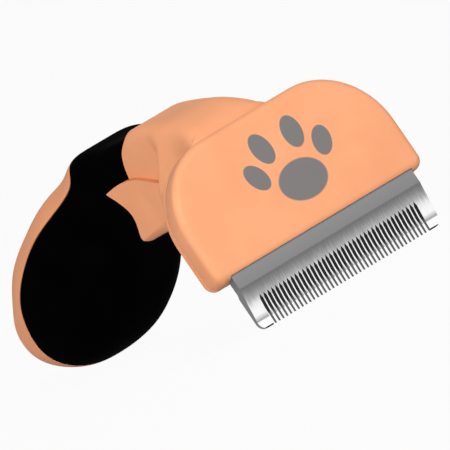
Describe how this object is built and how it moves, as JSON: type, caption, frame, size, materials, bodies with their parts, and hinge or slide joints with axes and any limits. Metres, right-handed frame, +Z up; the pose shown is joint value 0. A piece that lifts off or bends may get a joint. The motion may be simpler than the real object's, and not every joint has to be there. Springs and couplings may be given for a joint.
{
  "type": "deshedding tool",
  "caption": "Hand-held pet deshedding tool: a wide flat head with a fine-toothed steel blade on a raised neck, and an egg-shaped grip of soft black rubber under an orange spine shell.",
  "frame": {"origin": "middle of the tool's outline on the surface it rests on, under the lowest tooth tips", "axes": "+Z up, +X along the blade to the left of a person holding the grip and looking along it at the head, +Y from the blade to the butt of the grip"},
  "size_m": [0.0764, 0.1502, 0.0596],
  "materials": {
    "orange_plastic": "satin moulded",
    "black_rubber": "matte",
    "blade_steel": "ground along the teeth",
    "zinc_steel": "zinc plated",
    "grey_nylon": "moulded"
  },
  "bodies": {
    "root": {"head_cover": "orange_plastic", "neck_frame": "orange_plastic", "spine_shell": "orange_plastic", "grip_sleeve": "black_rubber", "blade": "blade_steel", "blade_clamp": "zinc_steel", "handle_core": "grey_nylon", "neck_pin": "zinc_steel", "blade_screw_1": "zinc_steel", "blade_screw_2": "zinc_steel", "blade_screw_3": "zinc_steel", "cover_screw_1": "zinc_steel", "cover_screw_2": "zinc_steel", "cover_screw_3": "zinc_steel", "cover_screw_4": "zinc_steel", "handle_screw_1": "zinc_steel", "handle_screw_2": "zinc_steel"}
  },
  "joints": []
}
